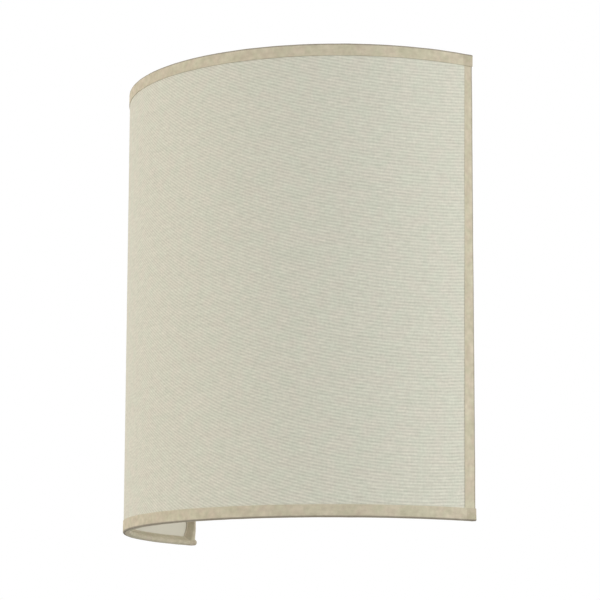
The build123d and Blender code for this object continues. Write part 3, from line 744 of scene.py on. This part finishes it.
tape, tape_shader, tape_where = new_finish("bias_tape", swatch(192, 183, 159), 0.85)
tape_flat, tape_along, tape_across = flat_place(tape_where)
bias_pitch = 1.414 * tape_thread_pitch
tape_crowns = plain_weave(
    tape_along + tape_across, tape_along - tape_across, bias_pitch, bias_pitch)
tape_mottle = grain(tape_flat, (330, 330, 1), detail=4.0)
tape_stretch = grain(tape_flat, (70, 260, 1))
tape_dye = 3.5 * grain(tape_flat, (150, 150, 1), detail=3.0) - 1.25
# Painted shade darkens the inner leg inside the drum and a line along the fold; the tape is also
# darker where it laps another.
tape_inner_leg_shade = ease(tape_across, inner_shade_start, inner_shade_end, 0.0, 1.0)
tape_lap = abs(tape_along) > edge_turn * cloth_radius - edge_leg
tape_depth = (1.2 * tape_mottle + 0.7 * tape_stretch + 0.2 * tape_crowns
              - 0.4 * tape_inner_leg_shade - 0.35 * tape_lap - 0.54)
# A painted dark line of shade along the fold at the tape's edge.
tape_fold_shade_mask = ease(
    abs(tape_across - fold_middle), 0.55 * fold_half_width, fold_half_width, 1.0, 0.0)
tape_cloth = shade_between(
    tape_depth,
    shade_between(tape_dye, swatch(183, 170, 147), swatch(178, 171, 143)),
    shade_between(tape_dye, swatch(219, 207, 184), swatch(214, 208, 182)))
# The colours of the painted shade along the fold.
painted_fold_shade = shade_between(tape_depth, swatch(140, 131, 114), swatch(164, 156, 139))
tint(tape_shader, tape_fold_shade_mask, tape_cloth, painted_fold_shade)
roughen(tape_shader, 0.94 - 0.2 * tape_crowns)
emboss(tape_shader, tape_crowns + tape_stretch, depth=0.00008)
top_tape.data.materials.append(tape)

# ---------------------------------------------------------------- the right edge's tape
# The same tape up the wire of the right rear edge, glued on before the top and bottom
# ones: a little wider at the foot than at the top, slit for the crossbars' ends, and with
# an inner leg that comes off the liner at both ends.

edge_slant = 0.0085
edge_cut_across = 0.00104
edge_inner_leg = 0.0056
edge_end_depth = 0.0024
edge_ripple = 0.011
end_flare = 0.0030
end_flare_reach = 0.009
slit_room = 0.0003
slit_reach = 0.0004
slit_inset = 0.0009
row_spacing = 0.0107
rows_each_way = 10
end_row_depths = (0.002, 0.004, 0.006, 0.009)


def edge_spot(place):
    """How far across from the liner's face and round from the edge a place lies."""
    radius = hypot(place.x, place.y - drum_axis.y)
    return radius - liner_face, (drum_turn(place) - edge_turn) * liner_face


edge_end = rim_height - edge_end_depth
edge_fold = folded(edge_leg, edge_cut_across, edge_inner_leg)
edge_line = [drum_place(edge_turn + along / liner_face, liner_face + across, -edge_end)
             for across, along, width in edge_fold]
right_tape = draw_line("right_tape", edge_line)
round_turns(right_tape, edge_line, edge_fold)
bpy.ops.object.mode_set(mode="OBJECT")
edge_width = flat_width(right_tape, edge_spot)
bpy.ops.object.mode_set(mode="EDIT")
bpy.ops.mesh.select_all(action="SELECT")
bpy.ops.mesh.extrude_region_move(TRANSFORM_OT_translate={"value": (0, 0, 2 * edge_end)})
bar_low, bar_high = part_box("upper_crossbar")
slit_levels = [side * level for side in (-1, 1)
               for level in (bar_low.z - slit_room, bar_high.z + slit_room)]
row_levels = [row_spacing * row for row in range(-rows_each_way, rows_each_way + 1)]
end_levels = [side * (edge_end - depth) for side in (-1, 1) for depth in end_row_depths]
for level in slit_levels + row_levels + end_levels:
    bpy.ops.mesh.select_all(action="SELECT")
    bpy.ops.mesh.bisect(plane_co=(0, 0, level), plane_no=(0, 0, 1))
settle_faces()
wire_low, wire_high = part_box("right_upright")
bar_thickness = (bar_high.z - bar_low.z) / 8
slit_front = wire_low.y - bar_thickness - slit_room
for side in (-1, 1):
    select(right_tape, lambda spot: bar_low.z - slit_reach < side * spot.z < bar_high.z + slit_reach
           and spot.x < wire_high.x - slit_inset and slit_front < spot.y < wire_high.y)
    bpy.ops.mesh.select_mode(type="FACE")
    bpy.ops.mesh.delete(type="FACE")
cut_edge = drum_place(edge_turn - edge_leg / liner_face, liner_face + edge_cut_across, 0)
select(right_tape, lambda spot: hypot(spot.x - cut_edge.x, spot.y - cut_edge.y) < same_line)
bpy.ops.transform.rotate(value=edge_slant, orient_axis="X", center_override=cut_edge)
inward = Vector((-cos(edge_turn), -sin(edge_turn), 0))
for side in (-1, 1):
    select(right_tape, lambda spot: side * spot.z > edge_end - same_line
           and abs(edge_spot(spot)[1] + edge_inner_leg) < same_line and edge_spot(spot)[0] < 0)
    bpy.ops.transform.translate(
        value=end_flare * inward, use_proportional_edit=True, use_proportional_connected=True,
        proportional_edit_falloff="SMOOTH", proportional_size=end_flare_reach)
thicken(right_tape, tape_thickness, 0)
ripple(right_tape, tape_waviness, edge_ripple)
map_weave(right_tape, lambda place: (
    place.z, tape_spot(edge_width, *edge_spot(place)) - edge_leg))
bpy.ops.object.shade_smooth_by_angle(angle=radians(50))
right_tape.data.materials.append(tape)

# ---------------------------------------------------------------- the bottom and left tapes
# The bottom hoop's tape is the top one turned over, and the left rear edge's tape is the
# right one's mirror image. All four tapes hold the cloth's edges.


def mirrored_copy(piece, name, flip):
    """A copy with its own mesh, turned over by the factors given, faces outward."""
    copy = piece.copy()
    copy.data = piece.data.copy()
    copy.name = name
    bpy.context.scene.collection.objects.link(copy)
    edit(copy)
    bpy.ops.mesh.select_all(action="SELECT")
    bpy.ops.transform.resize(value=flip, center_override=(0, 0, 0))
    bpy.ops.mesh.flip_normals()
    bpy.ops.object.mode_set(mode="OBJECT")
    return copy


tapes = {
    "top_binding": top_tape,
    "bottom_binding": mirrored_copy(top_tape, "bottom_tape", (1, 1, -1)),
    "right_binding": right_tape,
    "left_binding": mirrored_copy(right_tape, "left_tape", (-1, 1, 1)),
}
for node, strip in tapes.items():
    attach(strip, "shade")
    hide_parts(node)
